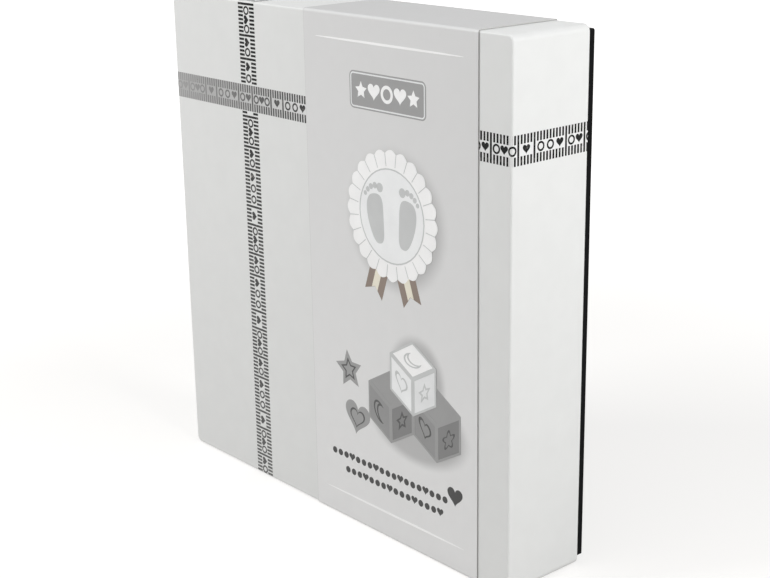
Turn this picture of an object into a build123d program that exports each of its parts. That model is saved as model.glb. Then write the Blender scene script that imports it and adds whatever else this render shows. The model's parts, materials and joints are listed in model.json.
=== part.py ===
from build123d import *
import os

# Gift box that holds a hinged double frame with a baby's handprint, and a small keepsake box.
# X runs along the box's face, Y into its depth and Z up. The lid's face looks towards -Y.
# The closed box stands on edge, and the origin lies under its middle on the surface it stands on.

# Lid: board wrapped in white paper
lid_width = 294.5
lid_height = 300.0
lid_depth = 55.2
lid_board = 1.8
lid_corner_radius = 3.8
lid_face_radius = 1.2
lid_rim_bevel = 0.3

# Base: board wrapped in black paper, a loose fit inside the lid, where it sags a little below the middle
base_board = 1.8
base_gap = 1.0
base_sag = 0.2
base_showing = 7.1
base_corner_radius = 1.2
base_back_bevel = 0.5
base_rim_bevel = 0.5

# Card sleeve round the lid, its ends folded round the lid's rim into the gap beside the base
sleeve_card = 0.5
sleeve_gap = 0.15
sleeve_right_inset = 23.0
sleeve_width = 139.2
sleeve_flap = 20.0
sleeve_fold_radius = 0.6

# Formed sheet that nests the contents
nest_sheet = 0.8
nest_gap = 0.3
nest_recess = 8.0
nest_strip = 5.0
small_well_strip = 13.2
small_well_head = 1.9
nest_corner_radius = 1.5
rest_gap = 0.3
side_gap = 1.0

# Double frame: two leaves of four mitred rails, as wide and high as the box leaves room for
leaf_thickness = 20.0
leaf_gap = 1.6
leaf_swing_gap = 1.7
leaf_recess = 3.5
leaf_head_gap = 1.2
leaf_edge_radius = 1.0
rail_width = 22.0
rail_lip = 6.0
rebate_width = 6.0
sight_edge_radius = 0.6
filling_gap = 0.5

# What the rebates hold, front to back
pane_thickness = 1.5
print_thickness = 0.3
card_thickness = 1.5
back_board_thickness = 3.0
foam_thickness = 3.0
spacer_width = 8.0

# Handprint pressed into the clay slab, with its places as shares of the hand's length
hand_length = 74.0
hand_depth = 2.4
palm_drop_share = 0.16
palm_shares = [(-0.09, 0.10, 0.17), (0.08, 0.09, 0.18), (-0.08, -0.08, 0.17), (0.07, -0.10, 0.19)]
finger_shares = [
    (-0.20, 0.10, -0.31, 0.40, 0.060),
    (-0.10, 0.14, -0.14, 0.58, 0.066),
    (0.04, 0.14, 0.04, 0.67, 0.069),
    (0.15, 0.12, 0.22, 0.58, 0.066),
    (0.16, -0.12, 0.42, 0.15, 0.076),
]

# Turn buttons that lock the back boards
button_thickness = 1.4
button_pivot_radius = 5.0
button_tip_radius = 3.0
button_reach = 14.0
button_seat_gap = 0.1
running_gap = 0.05
button_head_radius = 2.8
button_head_height = 1.0
button_shank_radius = 1.2
button_shank_length = 8.0

# Butt hinges between the leaves
hinge_length = 24.0
hinge_inset = 32.0
hinge_proud = 0.4
hinge_reach = 14.0
hinge_plate_gap = 0.2
knuckle_count = 3
knuckle_radius = 2.2
knuckle_gap = 0.3
knuckle_relief = 0.4
pin_radius = 0.9

# Keepsake box: a lift-off lid over a divided tray, as long as the small wells leave room for
keepsake_proud = 1.0
keepsake_lid_depth = 38.0
keepsake_board = 1.5
keepsake_gap = 0.8
keepsake_corner_radius = 2.2
keepsake_edge_bevel = 0.6
keepsake_rim_bevel = 0.4
divider_card = 1.2
divider_slot_gap = 0.2
divider_end_gap = 0.2
divider_drop = 3.0
cross_shares = (1 / 3, 2 / 3)

# Envelope and pillow box
envelope_width = 60.0
envelope_height = 52.0
envelope_thickness = 1.2
envelope_notch_radius = 7.0
flap_card = 0.4
flap_length = 25.0
flap_tip_radius = 3.0
flap_gap = 0.1
pillow_length = 58.0
pillow_height = 43.0
pillow_thickness = 16.0
pillow_scoop = 7.0

# How far a cutting shape runs past the face that it cuts
overrun = 1.0

# Places of the box's walls
stand_off = sleeve_card + sleeve_gap
total_depth = stand_off + lid_depth + base_showing
lid_front = stand_off - total_depth / 2
lid_rim = lid_front + lid_depth
lid_bottom = stand_off
lid_top = lid_bottom + lid_height
lid_side = lid_width / 2
base_inset = lid_board + base_gap
base_rim = lid_front + lid_board
base_back = lid_rim + base_showing
base_side = lid_side - base_inset
base_bottom = lid_bottom + base_inset - base_sag
base_top = lid_top - base_inset - base_sag

# Places of the nest and its wells
nest_side = base_side - base_board - nest_gap
nest_bottom = base_bottom + base_board + nest_gap
nest_top = base_top - base_board - nest_gap
nest_front = base_rim + nest_recess
nest_back = base_back - base_board
well_side = nest_side - nest_sheet

# Places of the envelope and the pillow box, one above the other beside the left wall
lower_bottom = nest_bottom + nest_sheet
small_width = max(envelope_width, pillow_length) + 2 * side_gap
small_left = small_well_strip - well_side
small_middle = small_left + small_width / 2
pillow_bottom = lower_bottom + rest_gap
pillow_well_top = pillow_bottom + pillow_height + side_gap
pillow_middle_z = pillow_bottom + pillow_height / 2
pillow_back = nest_front + pillow_thickness
pillow_well_floor = pillow_back + rest_gap
envelope_bottom = pillow_well_top + nest_strip + rest_gap
envelope_top = envelope_bottom + envelope_height
envelope_well_top = envelope_top + side_gap
envelope_front = nest_front + flap_card + flap_gap
envelope_back = envelope_front + envelope_thickness
envelope_well_floor = envelope_back + rest_gap

# Places of the keepsake box
lower_top = envelope_well_top + small_well_head
keepsake_bottom = lower_bottom + rest_gap
keepsake_top = lower_top - rest_gap
keepsake_right = well_side - rest_gap
keepsake_well_left = small_left + small_width + small_well_strip + nest_strip
keepsake_left = keepsake_well_left + rest_gap
keepsake_back = nest_back - nest_sheet - rest_gap
keepsake_front = nest_front - keepsake_proud

# Places of the double frame
strip_top = lower_top + nest_strip
leaf_bottom = strip_top + rest_gap
leaf_top = nest_top - nest_sheet - leaf_head_gap
leaf_height = leaf_top - leaf_bottom
leaf_width = well_side - leaf_swing_gap - leaf_gap / 2
leaf_front = base_rim + leaf_recess
leaf_back = leaf_front + leaf_thickness
leaf_middle_x = (leaf_gap + leaf_width) / 2
leaf_middle_z = (leaf_top + leaf_bottom) / 2
leaf_well_floor = leaf_back + button_seat_gap * 2 + button_thickness + button_head_height + rest_gap
rebate_front = leaf_front + rail_lip
board_front = leaf_back - back_board_thickness
slab_back = board_front - foam_thickness
filling_width = leaf_width - 2 * (rail_width - rebate_width + filling_gap)
filling_height = leaf_height - 2 * (rail_width - rebate_width + filling_gap)
hinge_y = leaf_front - hinge_proud


def block(x, y, z):
    """A box between two places along each axis."""
    size = [high - low for low, high in (x, y, z)]
    middle = [(low + high) / 2 for low, high in (x, y, z)]
    return Pos(*middle) * Box(*size)


def deep_rod(x, y, z, radius):
    """A round rod along the box's depth, between two places in Y."""
    return Pos(x, (y[0] + y[1]) / 2, z) * Rot(90, 0, 0) * Cylinder(radius, y[1] - y[0])


def upright_rod(x, y, z, radius):
    """A round rod between two heights."""
    return Pos(x, y, (z[0] + z[1]) / 2) * Cylinder(radius, z[1] - z[0])


def outline_face(plane, *points):
    """A flat face bounded by straight lines through the points."""
    return plane * make_face(Polyline(*points, close=True))


def board_tray(x, y, z, board, opening, corner_radius, edge_finish, edge_size, rim_bevel):
    """Five wrapped-board walls, open towards +Y or -Y, with a fillet or chamfer round the closed face."""
    low_y, high_y = y
    closed_face = 0 if opening > 0 else -1
    body = block(x, y, z)
    body = fillet(body.edges().filter_by(Axis.Y), corner_radius)
    body = edge_finish(body.faces().sort_by(Axis.Y)[closed_face].edges(), edge_size)
    inner_y = (low_y + board, high_y + overrun) if opening > 0 else (low_y - overrun, high_y - board)
    body -= block((x[0] + board, x[1] - board), inner_y, (z[0] + board, z[1] - board))
    rim = body.faces().sort_by(Axis.Y)[-1 - closed_face]
    return chamfer(rim.edges(), rim_bevel)


def lid_shell():
    return board_tray(
        (-lid_side, lid_side), (lid_front, lid_rim), (lid_bottom, lid_top),
        lid_board, 1, lid_corner_radius, fillet, lid_face_radius, lid_rim_bevel,
    )


def base_tray():
    return board_tray(
        (-base_side, base_side), (base_rim, base_back), (base_bottom, base_top),
        base_board, -1, base_corner_radius, chamfer, base_back_bevel, base_rim_bevel,
    )


def sleeve_band():
    """One strip of card from a flap behind the lid's upper wall, over the face, to the flap below."""
    half = sleeve_gap + sleeve_card / 2
    front, rim = lid_front - half, lid_rim + half
    top, bottom = lid_top + half, lid_bottom - half
    inner_top, inner_bottom = lid_top - lid_board - half, lid_bottom + lid_board + half
    flap_end = rim - sleeve_flap
    route = FilletPolyline(
        (flap_end, inner_top), (rim, inner_top), (rim, top), (front, top),
        (front, bottom), (rim, bottom), (rim, inner_bottom), (flap_end, inner_bottom),
        radius=[sleeve_fold_radius] * 2 + [lid_face_radius + half] * 2 + [sleeve_fold_radius] * 2,
    )
    section = Plane.YZ * trace(route, sleeve_card)
    left = lid_side - sleeve_right_inset - sleeve_width
    return Pos(left, 0, 0) * extrude(section, sleeve_width, dir=(1, 0, 0))


def wells():
    """Each well of the nest: its X, floor and Z."""
    return [
        ((-well_side, well_side), leaf_well_floor, (strip_top, nest_top - nest_sheet)),
        ((keepsake_well_left, well_side), nest_back - nest_sheet, (lower_bottom, lower_top)),
        (well_span(small_middle, pillow_length), pillow_well_floor, (lower_bottom, pillow_well_top)),
        (
            well_span(small_middle, envelope_width), envelope_well_floor,
            (envelope_bottom - rest_gap, envelope_well_top),
        ),
    ]


def well_span(middle, width):
    half = width / 2 + side_gap
    return (middle - half, middle + half)


def nest_insert():
    """One formed sheet: a flange with wells, and side walls down to the base's floor."""
    outer = block((-nest_side, nest_side), (nest_front, nest_back), (nest_bottom, nest_top))
    under = block(
        (-well_side, well_side), (nest_front + nest_sheet, nest_back + overrun),
        (nest_bottom + nest_sheet, nest_top - nest_sheet),
    )
    for x, floor, z in wells():
        pocket = block(x, (nest_front - overrun, floor), z)
        outer -= fillet(pocket.edges().filter_by(Axis.Y), nest_corner_radius)
        skin = block(
            (x[0] - nest_sheet, x[1] + nest_sheet), (nest_front, floor + nest_sheet),
            (z[0] - nest_sheet, z[1] + nest_sheet),
        )
        under -= fillet(skin.edges().filter_by(Axis.Y), nest_corner_radius + nest_sheet)
    return outer - under


def leaf_ring(side):
    """The four rails of one leaf in one piece: flat face, sight edge, rebate and hinge relief."""
    middle = side * leaf_middle_x
    half_width, half_height = leaf_width / 2, leaf_height / 2
    ring = block(
        (middle - half_width, middle + half_width), (leaf_front, leaf_back), (leaf_bottom, leaf_top)
    )
    ring = fillet(ring.faces().sort_by(Axis.Y)[0].edges(), leaf_edge_radius)
    window_half_x, window_half_z = half_width - rail_width, half_height - rail_width
    window = block(
        (middle - window_half_x, middle + window_half_x), (leaf_front - overrun, leaf_back),
        (leaf_middle_z - window_half_z, leaf_middle_z + window_half_z),
    )
    rebate_half_x, rebate_half_z = window_half_x + rebate_width, window_half_z + rebate_width
    rebate = block(
        (middle - rebate_half_x, middle + rebate_half_x), (rebate_front, leaf_back + overrun),
        (leaf_middle_z - rebate_half_z, leaf_middle_z + rebate_half_z),
    )
    ring = ring - window - rebate
    sight = [
        edge for edge in ring.faces().sort_by(Axis.Y)[0].edges()
        if abs(edge.center().X - middle) < half_width - rail_width / 2
        and abs(edge.center().Z - leaf_middle_z) < half_height - rail_width / 2
    ]
    ring = fillet(sight, sight_edge_radius)
    for z in hinge_heights():
        half_relief = hinge_length / 2 + knuckle_gap
        relief = (z - half_relief, z + half_relief)
        ring -= upright_rod(0, hinge_y, relief, knuckle_radius + knuckle_relief)
    return ring


def hinge_heights():
    return [leaf_bottom + hinge_inset, leaf_top - hinge_inset]


def leaf_rails(side):
    """The ring cut at its mitres into the upper, lower, left and right rails."""
    ring = leaf_ring(side) - button_screws(side)
    middle = side * leaf_middle_x
    out_x, out_z = leaf_width / 2 + overrun, leaf_height / 2 + overrun
    cut = rail_width + rail_lip
    in_x, in_z = leaf_width / 2 - cut, leaf_height / 2 - cut
    plane = Plane((middle, leaf_back + overrun, leaf_middle_z), x_dir=(1, 0, 0), z_dir=(0, -1, 0))
    corners = {
        "top": [(-out_x, out_z), (out_x, out_z), (in_x, in_z), (-in_x, in_z)],
        "bottom": [(-out_x, -out_z), (-in_x, -in_z), (in_x, -in_z), (out_x, -out_z)],
        "left": [(-out_x, out_z), (-in_x, in_z), (-in_x, -in_z), (-out_x, -out_z)],
        "right": [(out_x, out_z), (out_x, -out_z), (in_x, -in_z), (in_x, in_z)],
    }
    rails = {}
    for place, points in corners.items():
        wedge = extrude(outline_face(plane, *points), leaf_thickness + 2 * overrun, dir=(0, -1, 0))
        rails[place] = ring & wedge
    return rails


def filling(side, front, thickness):
    """A flat sheet that fills a leaf's rebate."""
    middle = side * leaf_middle_x
    return block(
        (middle - filling_width / 2, middle + filling_width / 2), (front, front + thickness),
        (leaf_middle_z - filling_height / 2, leaf_middle_z + filling_height / 2),
    )


def spacer_ring():
    """The light frame that packs out the photo leaf between its card and its back board."""
    front = rebate_front + pane_thickness + print_thickness + card_thickness
    whole = filling(-1, front, board_front - front)
    half_x, half_z = filling_width / 2 - spacer_width, filling_height / 2 - spacer_width
    return whole - block(
        (-leaf_middle_x - half_x, -leaf_middle_x + half_x), (front - overrun, board_front + overrun),
        (leaf_middle_z - half_z, leaf_middle_z + half_z),
    )


def handprint():
    """Solid of a baby's open hand, its rounded underside reaching below the clay's surface."""
    palm_z = leaf_middle_z - palm_drop_share * hand_length
    shapes = []
    for x, z, spread in palm_shares:
        place = (leaf_middle_x + x * hand_length, palm_z + z * hand_length)
        shapes.append(pressed_ball(place, spread * hand_length))
    for base_x, base_z, tip_x, tip_z, spread in finger_shares:
        base = (leaf_middle_x + base_x * hand_length, palm_z + base_z * hand_length)
        tip = (leaf_middle_x + tip_x * hand_length, palm_z + tip_z * hand_length)
        shapes.append(pressed_finger(base, tip, spread * hand_length))
    hand = shapes[0]
    for shape in shapes[1:]:
        hand += shape
    return hand


def ball_radius(spread):
    """Radius of a ball that leaves a mark of this half-width when pressed to the hand's depth."""
    return (spread**2 + hand_depth**2) / (2 * hand_depth)


def pressed_ball(place, spread):
    radius = ball_radius(spread)
    ball = Pos(place[0], rebate_front - radius + hand_depth, place[1]) * Sphere(radius)
    return ball


def pressed_finger(base, tip, spread):
    """A round finger lying along the surface from base to tip."""
    radius = ball_radius(spread)
    centre_y = rebate_front - radius + hand_depth
    start, end = Vector(base[0], centre_y, base[1]), Vector(tip[0], centre_y, tip[1])
    along = end - start
    plane = Plane(start, z_dir=along)
    shaft = plane * Cylinder(radius, along.length, align=(Align.CENTER, Align.CENTER, Align.MIN))
    return shaft + Pos(end) * Sphere(radius)


def clay_slab():
    return filling(1, rebate_front, slab_back - rebate_front) - handprint()


def button_places():
    """Pivot heights of a leaf's two buttons, and which way each points to hold the board."""
    offset = leaf_height / 2 - rail_width / 2
    return {"top": (leaf_middle_z + offset, -1), "bottom": (leaf_middle_z - offset, 1)}


def turn_button(side, place):
    """A tear-shaped button on its screw, pointing over the back board's edge."""
    z, towards = button_places()[place]
    middle = side * leaf_middle_x
    front = leaf_back + button_seat_gap
    plane = Plane((middle, front, z), x_dir=(1, 0, 0), z_dir=(0, 1, 0))
    pivot = Circle(button_pivot_radius)
    tip = Pos(0, -towards * button_reach) * Circle(button_tip_radius)
    outline = make_hull((pivot + tip).edges())
    bore = Circle(button_shank_radius + running_gap)
    return extrude(plane * (outline - bore), button_thickness, dir=(0, 1, 0))


def button_screws(side):
    """Round-head screws through a leaf's two buttons."""
    middle = side * leaf_middle_x
    head_front = leaf_back + 2 * button_seat_gap + button_thickness
    screws = []
    for z, _ in button_places().values():
        head = deep_rod(middle, (head_front, head_front + button_head_height), z, button_head_radius)
        shank = deep_rod(middle, (leaf_back - button_shank_length, head_front), z, button_shank_radius)
        screws.append(head + shank)
    return Compound(screws)


def knuckle_spans(z):
    """The knuckles of a hinge, from its lower end."""
    length = (hinge_length - (knuckle_count - 1) * knuckle_gap) / knuckle_count
    bottoms = [z - hinge_length / 2 + i * (length + knuckle_gap) for i in range(knuckle_count)]
    return [(bottom, bottom + length) for bottom in bottoms]


def hinge_leaf(side, z):
    """One plate with its knuckles: the outer ones on the impression leaf's plate, the rest between them."""
    spans = knuckle_spans(z)
    own, others = (spans[::2], spans[1::2]) if side > 0 else (spans[1::2], spans[::2])
    low_end, high_end = spans[0][0], spans[-1][1]
    inner, outer = hinge_plate_gap / 2, leaf_gap / 2
    plate = block(
        tuple(sorted((side * inner, side * outer))), (hinge_y, hinge_y + hinge_reach),
        (low_end, high_end),
    )
    for low, high in others:
        plate -= block(
            (-leaf_gap, leaf_gap), (hinge_y - overrun, hinge_y + knuckle_radius + knuckle_gap),
            (low - knuckle_gap, high + knuckle_gap),
        )
    for span in own:
        plate += upright_rod(0, hinge_y, span, knuckle_radius)
    bore = (low_end - overrun, high_end + overrun)
    return plate - upright_rod(0, hinge_y, bore, pin_radius + running_gap)


def hinge_pin(z):
    """Pin through the knuckles, flush with their ends."""
    return upright_rod(0, hinge_y, (z - hinge_length / 2, z + hinge_length / 2), pin_radius)


def keepsake_lid():
    return board_tray(
        (keepsake_left, keepsake_right), (keepsake_front, keepsake_front + keepsake_lid_depth),
        (keepsake_bottom, keepsake_top), keepsake_board, 1, keepsake_corner_radius,
        chamfer, keepsake_edge_bevel, keepsake_rim_bevel,
    )


def keepsake_inside():
    """The tray's inner X, Y and Z."""
    inset = 2 * keepsake_board + keepsake_gap
    return (
        (keepsake_left + inset, keepsake_right - inset),
        (keepsake_front + keepsake_board, keepsake_back - keepsake_board),
        (keepsake_bottom + inset, keepsake_top - inset),
    )


def keepsake_tray():
    inset = keepsake_board + keepsake_gap
    return board_tray(
        (keepsake_left + inset, keepsake_right - inset),
        (keepsake_front + keepsake_board, keepsake_back), (keepsake_bottom + inset, keepsake_top - inset),
        keepsake_board, -1, keepsake_board, chamfer, keepsake_edge_bevel, keepsake_rim_bevel,
    )


def cross_places():
    """Middle of each cross divider along the tray's inner length."""
    low, high = keepsake_inside()[0]
    return [low + (high - low) * share for share in cross_shares]


def divider_slot(x, y):
    """The half-depth slot where a cross divider at x meets the long one."""
    low_z, high_z = keepsake_inside()[2]
    half = (divider_card + divider_slot_gap) / 2
    middle_z = (low_z + high_z) / 2
    return block((x - half, x + half), y, (middle_z - half, middle_z + half))


def long_divider():
    """Card along the tray's length, slotted from the rim for the cross dividers."""
    x, y, z = keepsake_inside()
    rim, middle_z = y[0] + divider_drop, (z[0] + z[1]) / 2
    card = block(
        (x[0] + divider_end_gap, x[1] - divider_end_gap), (rim, y[1]),
        (middle_z - divider_card / 2, middle_z + divider_card / 2),
    )
    for place in cross_places():
        card -= divider_slot(place, (rim - overrun, (rim + y[1]) / 2))
    return card


def cross_divider(place):
    """Card across the tray, slotted from the floor to straddle the long divider."""
    _, y, z = keepsake_inside()
    rim = y[0] + divider_drop
    card = block(
        (place - divider_card / 2, place + divider_card / 2), (rim, y[1]),
        (z[0] + divider_end_gap, z[1] - divider_end_gap),
    )
    return card - divider_slot(place, ((rim + y[1]) / 2, y[1] + overrun))


def envelope_pocket():
    """Flat folded pocket with a thumb notch at its mouth."""
    half = envelope_width / 2
    pocket = block(
        (small_middle - half, small_middle + half), (envelope_front, envelope_back),
        (envelope_bottom, envelope_top),
    )
    notch = deep_rod(
        small_middle, (envelope_front - overrun, (envelope_front + envelope_back) / 2),
        envelope_top, envelope_notch_radius,
    )
    return pocket - notch


def envelope_flap():
    """The pointed flap, folded down over the pocket."""
    half = envelope_width / 2
    corner = (small_middle, envelope_front - flap_gap, envelope_top)
    plane = Plane(corner, x_dir=(1, 0, 0), z_dir=(0, -1, 0))
    outline = outline_face(plane, (-half, 0), (half, 0), (0, -flap_length))
    flap = extrude(outline, flap_card, dir=(0, -1, 0))
    return fillet(flap.edges().filter_by(Axis.Y).sort_by(Axis.Z)[0], flap_tip_radius)


def pillow_box():
    """Two bowed panels that meet along straight creases, with scooped ends."""
    half_z, half_y = pillow_height / 2, pillow_thickness / 2
    plane = Plane((small_middle, pillow_back - half_y, pillow_middle_z), x_dir=(0, 1, 0), z_dir=(1, 0, 0))
    front_arc = ThreePointArc((0, -half_z), (half_y, 0), (0, half_z))
    back_arc = ThreePointArc((0, half_z), (-half_y, 0), (0, -half_z))
    section = make_face(front_arc + back_arc)
    pillow = extrude(plane * section, pillow_length / 2, both=True)
    scoop_radius = (half_z**2 + pillow_scoop**2) / (2 * pillow_scoop)
    for side in (-1, 1):
        middle = small_middle + side * (pillow_length / 2 - pillow_scoop + scoop_radius)
        through = (nest_front - overrun, pillow_back + overrun)
        pillow -= deep_rod(middle, through, pillow_middle_z, scoop_radius)
    return pillow


def write(shape, name):
    export_step(shape, f"parts/{name}.step")


def write_box():
    write(lid_shell(), "lid_shell")
    write(base_tray(), "base_tray")
    write(sleeve_band(), "sleeve_band")
    write(nest_insert(), "nest_insert")


def write_frame():
    for side, leaf in ((1, "clay"), (-1, "photo")):
        for place, rail in leaf_rails(side).items():
            write(rail, f"{leaf}_rail_{place}")
        write(filling(side, board_front, back_board_thickness), f"{leaf}_back_board")
        for place in button_places():
            write(turn_button(side, place), f"{leaf}_button_{place}")
        write(button_screws(side), f"{leaf}_button_screws")
        for z, height in zip(hinge_heights(), ("lower", "upper")):
            write(hinge_leaf(side, z), f"{height}_hinge_{leaf}_plate")
    for z, height in zip(hinge_heights(), ("lower", "upper")):
        write(hinge_pin(z), f"{height}_hinge_pin")


def write_fillings():
    write(clay_slab(), "clay_slab")
    write(filling(1, slab_back, foam_thickness), "clay_foam_pad")
    print_front = rebate_front + pane_thickness
    card_front = print_front + print_thickness
    write(filling(-1, rebate_front, pane_thickness), "photo_pane")
    write(filling(-1, print_front, print_thickness), "photo_print")
    write(filling(-1, card_front, card_thickness), "photo_card")
    write(spacer_ring(), "photo_spacer")


def write_keepsakes():
    write(keepsake_lid(), "keepsake_lid")
    write(keepsake_tray(), "keepsake_tray")
    write(long_divider(), "keepsake_long_divider")
    for place, name in zip(cross_places(), ("left", "right")):
        write(cross_divider(place), f"keepsake_{name}_divider")
    write(envelope_pocket(), "envelope_pocket")
    write(envelope_flap(), "envelope_flap")
    write(pillow_box(), "pillow_box")


os.makedirs("parts", exist_ok=True)
write_box()
write_frame()
write_fillings()
write_keepsakes()
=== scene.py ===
import json
import math

import bpy
from mathutils import Matrix, Vector

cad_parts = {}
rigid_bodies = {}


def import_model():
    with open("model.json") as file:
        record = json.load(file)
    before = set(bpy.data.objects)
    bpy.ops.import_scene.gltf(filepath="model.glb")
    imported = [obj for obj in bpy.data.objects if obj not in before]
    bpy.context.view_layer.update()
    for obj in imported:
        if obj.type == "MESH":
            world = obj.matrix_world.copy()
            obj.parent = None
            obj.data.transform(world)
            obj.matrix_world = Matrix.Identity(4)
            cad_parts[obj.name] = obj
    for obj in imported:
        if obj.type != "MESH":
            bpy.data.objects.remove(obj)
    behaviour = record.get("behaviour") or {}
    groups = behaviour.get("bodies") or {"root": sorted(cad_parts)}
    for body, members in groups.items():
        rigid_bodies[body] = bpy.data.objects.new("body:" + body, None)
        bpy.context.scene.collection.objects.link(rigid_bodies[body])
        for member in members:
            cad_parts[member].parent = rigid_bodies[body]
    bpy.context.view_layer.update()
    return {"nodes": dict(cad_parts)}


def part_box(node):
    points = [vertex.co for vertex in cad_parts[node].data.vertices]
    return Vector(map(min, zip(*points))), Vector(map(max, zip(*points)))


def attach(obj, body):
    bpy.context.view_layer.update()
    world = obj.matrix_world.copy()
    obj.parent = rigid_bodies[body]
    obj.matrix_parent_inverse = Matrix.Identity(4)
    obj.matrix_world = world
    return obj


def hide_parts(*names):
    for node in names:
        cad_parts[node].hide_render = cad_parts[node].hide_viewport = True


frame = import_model()
nodes = frame["nodes"]
mm = 0.001


# Base of the gift box
# A tray of greyboard wrapped in matt black paper. The paper is glued down tight, turned in over the rim, and
# rubs a little grey along its edges.

black_paper = (0.003, 0.003, 0.0035, 1)
rubbed_black = (0.020, 0.020, 0.019, 1)
black_rough, black_shine = 0.6, 0.05
fibre_size, fibre_depth = 0.35 * mm, 0.01 * mm
fibre_share, cloud_step = 0.4, 0.03
rub_width, rub_scale = 1.1 * mm, 90.0
rub_contrast, wrap_contrast = (0.35, 0.75), (0.25, 0.75)
wrap_shade, wrap_rough_spread = 0.965, 0.08


def feed(tree, socket, value):
    """Sets a shader socket, or links it if the value is another node's output."""
    if isinstance(value, bpy.types.NodeSocket):
        tree.links.new(value, socket)
    else:
        socket.default_value = value


def fill(tree, node, **inputs):
    """Sets or links a node's named inputs."""
    for key, value in inputs.items():
        feed(tree, node.inputs[key.replace("_", " ")], value)
    return node


def add(tree, kind, settings=None, **inputs):
    """A shader node with its settings and its named inputs."""
    made = tree.nodes.new("ShaderNode" + kind)
    for key, value in (settings or {}).items():
        setattr(made, key, value)
    return fill(tree, made, **inputs)


def calculate(tree, operation, *values, kind="Math"):
    """The result of a sum on numbers, vectors or outputs."""
    made = add(tree, kind, {"operation": operation})
    for socket, value in zip(made.inputs, values):
        feed(tree, socket, value)
    return made.outputs[0]


def scaled(tree, value, share, start):
    """A share of a value on top of a start."""
    return calculate(tree, "MULTIPLY_ADD", value, share, start)


def rest_of(tree, value):
    """What a value leaves of 1."""
    return calculate(tree, "SUBTRACT", 1.0, value)


def blend(tree, first, second, share):
    """A number between two, with the first one's share."""
    return scaled(tree, first, share, calculate(tree, "MULTIPLY", second, 1 - share))


def ease(tree, value, low, high):
    """0 below low, 1 above high, and smooth between them."""
    smooth = {"interpolation_type": "SMOOTHSTEP"}
    return add(tree, "MapRange", smooth, Value=value, From_Min=low, From_Max=high).outputs[0]


def mix(tree, factor, first, second):
    """A colour between two colours."""
    made = add(tree, "Mix", {"data_type": "RGBA"})
    for place, value in ((0, factor), (6, first), (7, second)):
        feed(tree, made.inputs[place], value)
    return made.outputs[2]


def place_on(tree):
    """The place of the point on the piece."""
    return add(tree, "TexCoord").outputs["Object"]


def axes_of(tree, place):
    """X, Y and Z of a place."""
    return add(tree, "SeparateXYZ", Vector=place).outputs


def noise(tree, place, scale, detail, **more):
    """Soft noise from 0 to 1."""
    return add(tree, "TexNoise", Vector=place, Scale=scale, Detail=detail, **more).outputs[0]


def bump(tree, height, depth):
    """The surface that a height raises."""
    return add(tree, "Bump", Height=height, Distance=depth).outputs[0]


def shaded(colour, share):
    """A colour made darker or lighter."""
    return tuple(c * share for c in colour[:3]) + (1,)


def new_group(name, inputs, outputs):
    """A shader group with its named sockets, and its two end nodes."""
    group = bpy.data.node_groups.new(name, "ShaderNodeTree")
    for socket, kind, value in inputs:
        made = group.interface.new_socket(socket, in_out="INPUT", socket_type="NodeSocket" + kind)
        made.default_value = value
    for socket, kind in outputs:
        group.interface.new_socket(socket, in_out="OUTPUT", socket_type="NodeSocket" + kind)
    return group, group.nodes.new("NodeGroupInput").outputs, group.nodes.new("NodeGroupOutput").inputs


def make_paper_fibre():
    """Matted fibres under the finish of a paper: a tone from 0 to 1, and the surface that they raise."""
    group, given, result = new_group(
        "paper_fibre",
        [("Fibre size", "Float", fibre_size), ("Depth", "Float", fibre_depth)],
        [("Tone", "Float"), ("Normal", "Vector")],
    )
    place = place_on(group)
    fine = calculate(group, "DIVIDE", 1.0, given["Fibre size"])
    coarse = calculate(group, "DIVIDE", cloud_step, given["Fibre size"])
    fibres = noise(group, place, fine, 3.0, Distortion=0.8)
    clouds = noise(group, place, coarse, 2.0)
    group.links.new(blend(group, fibres, clouds, fibre_share), result["Tone"])
    group.links.new(bump(group, fibres, given["Depth"]), result["Normal"])
    return group


def make_rubbed_edges():
    """Where a box-shaped piece is handled: 1 on its edges, fading out over a width, broken up by noise."""
    group, given, result = new_group(
        "rubbed_edges",
        [("Middle", "Vector", (0, 0, 0)), ("Half size", "Vector", (1, 1, 1)), ("Width", "Float", rub_width)],
        [("Mask", "Float")],
    )
    place = place_on(group)
    offset = calculate(group, "SUBTRACT", place, given["Middle"], kind="VectorMath")
    size = calculate(group, "ABSOLUTE", offset, kind="VectorMath")
    x, y, z = axes_of(group, calculate(group, "SUBTRACT", given["Half size"], size, kind="VectorMath"))
    least, most, total = (
        calculate(group, rule, calculate(group, rule, x, y), z) for rule in ("MINIMUM", "MAXIMUM", "ADD"))
    second = calculate(group, "SUBTRACT", calculate(group, "SUBTRACT", total, least), most)
    near = rest_of(group, ease(group, second, 0.0, given["Width"]))
    patches = ease(group, noise(group, place, rub_scale, 5.0, Roughness=0.7), *rub_contrast)
    group.links.new(calculate(group, "MULTIPLY", near, patches), result["Mask"])
    return group


paper_fibre = make_paper_fibre()
rubbed_edges = make_rubbed_edges()


def new_material(name):
    """A material with its tree and its shader."""
    made = bpy.data.materials.new(name)
    made.use_nodes = True
    return made, made.node_tree, made.node_tree.nodes["Principled BSDF"]


def use_group(tree, group, **inputs):
    """The outputs of a group that is placed in a material with its own values."""
    made = tree.nodes.new("ShaderNodeGroup")
    made.node_tree = group
    return fill(tree, made, **inputs).outputs


def box_of(*names):
    """Middle and half size of CAD nodes taken together."""
    boxes = [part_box(name) for name in names]
    low = [min(b[0][i] for b in boxes) for i in range(3)]
    high = [max(b[1][i] for b in boxes) for i in range(3)]
    return [(a + b) / 2 for a, b in zip(low, high)], [(b - a) / 2 for a, b in zip(low, high)]


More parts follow.
